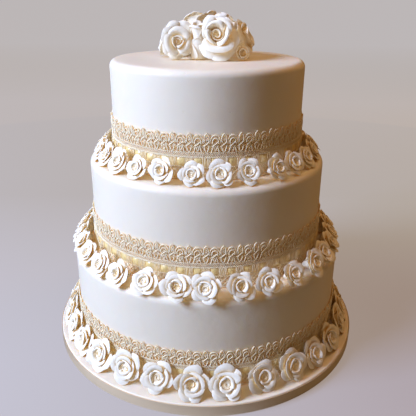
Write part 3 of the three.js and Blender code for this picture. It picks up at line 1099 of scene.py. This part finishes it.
LEFT_ROWS = (
    row_of_petals(
        3, 80, (0.27, 1.3), foot=(0.18, 0.9), opened=12, lip=0.07, curl=90, crisp=1.2, point=0.04
    ),
    petals_by_hand(
        (80, 84, (0.48, 1.22)),
        (-20, 76, (0.42, 1.16)),
        (205, 80, (0.44, 1.14)),
        foot=(0.22, 0.7), opened=54, lip=0.3, curl=62, crisp=1, point=0.1,
    ),
    petals_by_hand(
        (118, 48, (0.72, 1.0)),
        (72, 48, (0.76, 1.0)),
        (18, 52, (0.54, 1.0)),
        (-38, 54, (0.6, 0.9)),
        (-92, 52, (0.62, 0.88)),
        (-148, 54, (0.6, 0.88)),
        (156, 56, (0.56, 0.96)),
        foot=(0.2, 0.1), opened=58, lip=0.36, curl=50, crisp=1, point=0.15,
    ),
)
SMALL_BUD = dict(turns=1.6, inner=0.04, outer=0.19, foot=0.55, top=1.32, plug=1.14)
CUP_ROWS = (
    row_of_petals(
        3, 78, (0.42, 1.42), foot=(0.14, 0.4), opened=10, lip=0.12, curl=90, crisp=1.4, point=0.06
    ),
    row_of_petals(
        3, 82, (0.62, 1.36), foot=(0.2, 0.15), opened=18, lip=0.2, curl=90, crisp=1.4, point=0.08
    ),
    row_of_petals(
        3, 84, (0.8, 1.2), foot=(0.26, 0.04), opened=26, lip=0.3, curl=90, crisp=1.4, point=0.1
    ),
)
UPPER_ROWS = (
    row_of_petals(
        3, 80, (0.5, 1.14), foot=(0.2, 0.4), opened=20, lip=0.14, curl=80, crisp=1.4, point=0.06
    ),
    petals_by_hand(
        (240, 74, (0.8, 1.14)),
        (150, 70, (0.84, 1.34)),
        (-30, 70, (0.84, 1.1)),
        foot=(0.34, 0.04), opened=34, lip=0.26, curl=76, crisp=1.3, point=0.08,
    ),
    petals_by_hand(
        (100, 62, (0.76, 1.14)),
        (34, 68, (0.82, 1.3)),
        foot=(0.34, 0.04), opened=34, lip=0.28, curl=70, crisp=1, point=0.14,
    ),
)
STANDING_ROWS = (
    row_of_petals(
        3, 84, (0.56, 1.36), foot=(0.42, 0.6), opened=6, lip=0.16, curl=90, crisp=1.4, point=0.02
    ),
    row_of_petals(
        3, 86, (0.74, 1.38), foot=(0.6, 0.02), opened=6, lip=0.28, curl=110, crisp=1.4, point=0.03
    ),
    petals_by_hand(
        (-60, 84, (0.98, 0.95)),
        (-170, 84, (0.96, 0.8)),
        foot=(0.86, 0), opened=4, lip=0.12, curl=60, crisp=1, point=0.2,
    ),
)
BUD_ROWS = (shut_petals(2, 110, 0.84, 1.5), shut_petals(2, 80, 0.95, 1.3))
SMALL_ROWS = (
    row_of_petals(
        3, 78, (0.48, 1.36), foot=(0.15, 0.42), opened=14, lip=0.14, curl=100, crisp=1.4, point=0.06
    ),
    row_of_petals(
        4, 66, (0.78, 1.16), foot=(0.2, 0.12), opened=40, lip=0.26, curl=90, crisp=1.4, point=0.14
    ),
)
BUD_TIP = dict(turns=1.5, inner=0.03, outer=0.2, foot=0.6, top=1.3, plug=1.2)
TOPPER_FORMS = {
    "large": (LARGE_ROWS, EYE),
    "left": (LEFT_ROWS, SMALL_BUD),
    "cup": (CUP_ROWS, HOLLOW_BUD),
    "upper": (UPPER_ROWS, HOLLOW_BUD),
    "open": (OPEN_ROSE, TIGHT_BUD),
    "small": (SMALL_ROWS, HOLLOW_BUD),
    "standing": (STANDING_ROWS, HOLLOW_BUD),
    "bud": (BUD_ROWS, BUD_TIP),
}
# Each rose's name and form, its middle over the top of the tier, the way that it faces (azimuth,
# tipped up), and its radius and depth.
TOPPER = (
    ("rose_large", "large", (9, -27.7, 19.9), (-5, 18), (22.5, 34)),
    ("rose_left", "left", (-30, -19.7, 17.6), (6, 8), (19, 30)),
    ("rose_small", "small", (35, -24, 7), (10, 10), (7.2, 16)),
    ("rose_upper", "upper", (-7, 8, 28.3), (-150, 70), (19.5, 34)),
    ("rose_standing", "standing", (-8.5, -22, 21), (-10, 76), (9.5, 38)),
    ("rose_right", "cup", (32.5, -1, 19), (78, 26), (18, 34)),
    ("rose_outer_left", "cup", (-37, 8, 16.5), (-95, 18), (18, 32)),
    ("rose_back", "large", (4, 33, 19), (178, 22), (20, 36)),
    ("bud_upper", "bud", (15, -12, 40.5), (75, 12), (4.4, 16)),
    ("bud_right", "bud", (25.5, -17, 31), (20, 40), (4.8, 15)),
    ("rose_upper_back", "open", (15, 14, 30), (130, 58), (14, 30)),
    ("rose_low_right", "open", (32, 26, 13.5), (125, 18), (13.5, 28)),
    ("rose_back_left", "cup", (-22, 16, 22), (-142, 50), (15.5, 32)),
)

for k, (name, kind, at, (azimuth, lean), (radius, depth)) in enumerate(TOPPER):
    form = rose_form(f"{kind}_{k}", *TOPPER_FORMS[kind], 300 + k)
    size = Matrix.Diagonal((radius * MM, radius * MM, depth * MM / ROSE_DEPTH, 1))
    drop = Matrix.Translation((0, 0, -WIDEST * ROSE_DEPTH))  # its place is where it is widest
    form.transform(
        Matrix.Translation((at[0] * MM, at[1] * MM, TOP + at[2] * MM))
        @ facing(lean, azimuth)
        @ size
        @ drop
    )
    co = coordinates(form)
    co[:, 2] = np.maximum(co[:, 2], TOP + CLEARANCE)
    form.vertices.foreach_set("co", co.ravel())
    node = f"topper_{name}"
    finish_piece(join_meshes("topper", [form]), f"sugar_{node}", paste, "sugar_rose", node)
